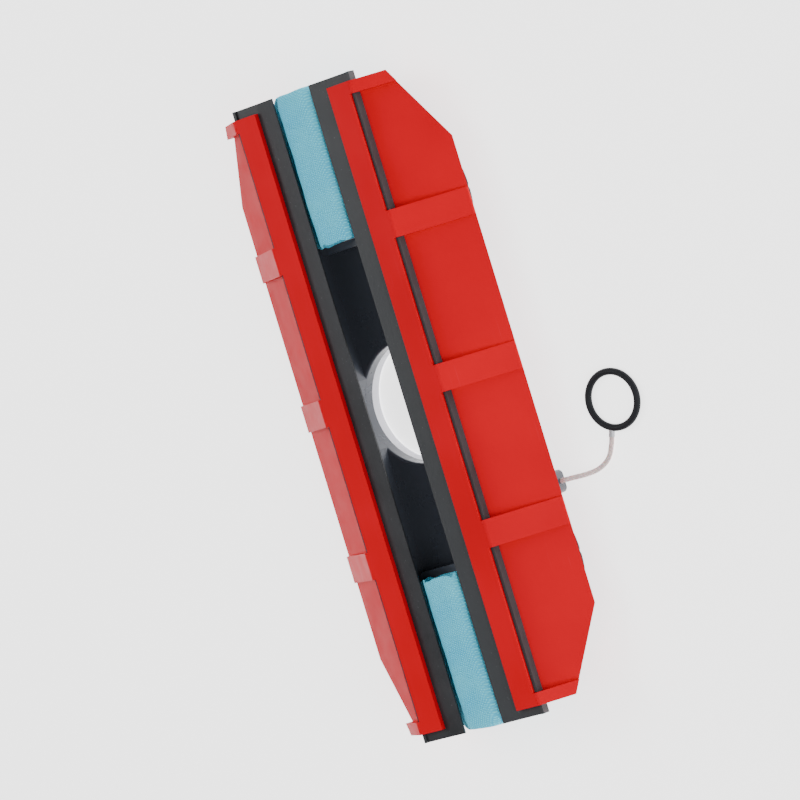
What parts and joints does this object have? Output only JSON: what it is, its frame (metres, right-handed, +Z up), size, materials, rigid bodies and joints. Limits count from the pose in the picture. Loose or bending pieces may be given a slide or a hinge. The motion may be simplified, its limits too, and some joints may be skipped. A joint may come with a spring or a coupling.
{
  "type": "magnetic glass cleaner",
  "caption": "One unit of a magnetic glass cleaner: ribbed red side rails with rubber blades, blue cloth pads over magnets, a black base with a finger hole, two force dials and a corded ring.",
  "frame": {"origin": "middle of the surface that the unit lies on, under its centre, dials down and cleaning side up", "axes": "+X along the blades, +Y across them towards the side with the cord, +Z up out of the cleaning side"},
  "size_m": [0.284, 0.162, 0.0366],
  "materials": {
    "red_rail": "glossy moulded red plastic with faint scuffs",
    "blade_rubber": "satin black rubber",
    "black_plastic": "satin slate-black moulded plastic",
    "pale_liner": "pale moulded plastic",
    "screw_steel": "zinc plated",
    "magnet_plating": "nickel plated",
    "yoke_steel": "bare steel",
    "pad_cloth": "light blue woven microfibre",
    "pad_backing": "pale hook strip",
    "dial_plastic": "fine-grained black plastic",
    "cord_braid": "pale braid",
    "crimp_metal": "dull metal",
    "ring_rubber": "smooth black"
  },
  "bodies": {
    "unit": {"front_rail": "red_rail", "rear_rail": "red_rail", "front_blade": "blade_rubber", "rear_blade": "blade_rubber", "base": "black_plastic", "hole_liner": "pale_liner", "rail_screws": "screw_steel", "housing_left": "black_plastic", "housing_right": "black_plastic", "backing_left": "pad_backing", "backing_right": "pad_backing", "pad_left": "pad_cloth", "pad_right": "pad_cloth", "safety_cord": "cord_braid", "cord_crimp": "crimp_metal", "finger_ring": "ring_rubber"},
    "dial_left_set": {"dial_left": "dial_plastic", "dial_clip_left": "screw_steel"},
    "magnet_left_set": {"magnet_left": "magnet_plating", "yoke_left": "yoke_steel"},
    "dial_right_set": {"dial_right": "dial_plastic", "dial_clip_right": "screw_steel"},
    "magnet_right_set": {"magnet_right": "magnet_plating", "yoke_right": "yoke_steel"}
  },
  "joints": [
    {"name": "dial_left_turn", "type": "hinge", "parent": "unit", "child": "dial_left_set", "pos_m": [-0.081, 0, 0.0057], "axis": [0, 0, 1], "range_deg": [0, 270]},
    {"name": "magnet_left_drop", "type": "slide", "parent": "unit", "child": "magnet_left_set", "axis": [0, 0, -1], "range_m": [0, 0.0025]},
    {"name": "dial_right_turn", "type": "hinge", "parent": "unit", "child": "dial_right_set", "pos_m": [0.081, 0, 0.0057], "axis": [0, 0, 1], "range_deg": [0, 270]},
    {"name": "magnet_right_drop", "type": "slide", "parent": "unit", "child": "magnet_right_set", "axis": [0, 0, -1], "range_m": [0, 0.0025]}
  ],
  "couplings": [
    {"joint": "magnet_left_drop", "follows": "dial_left_turn", "m_per_rad": 0.00053},
    {"joint": "magnet_right_drop", "follows": "dial_right_turn", "m_per_rad": 0.00053}
  ]
}
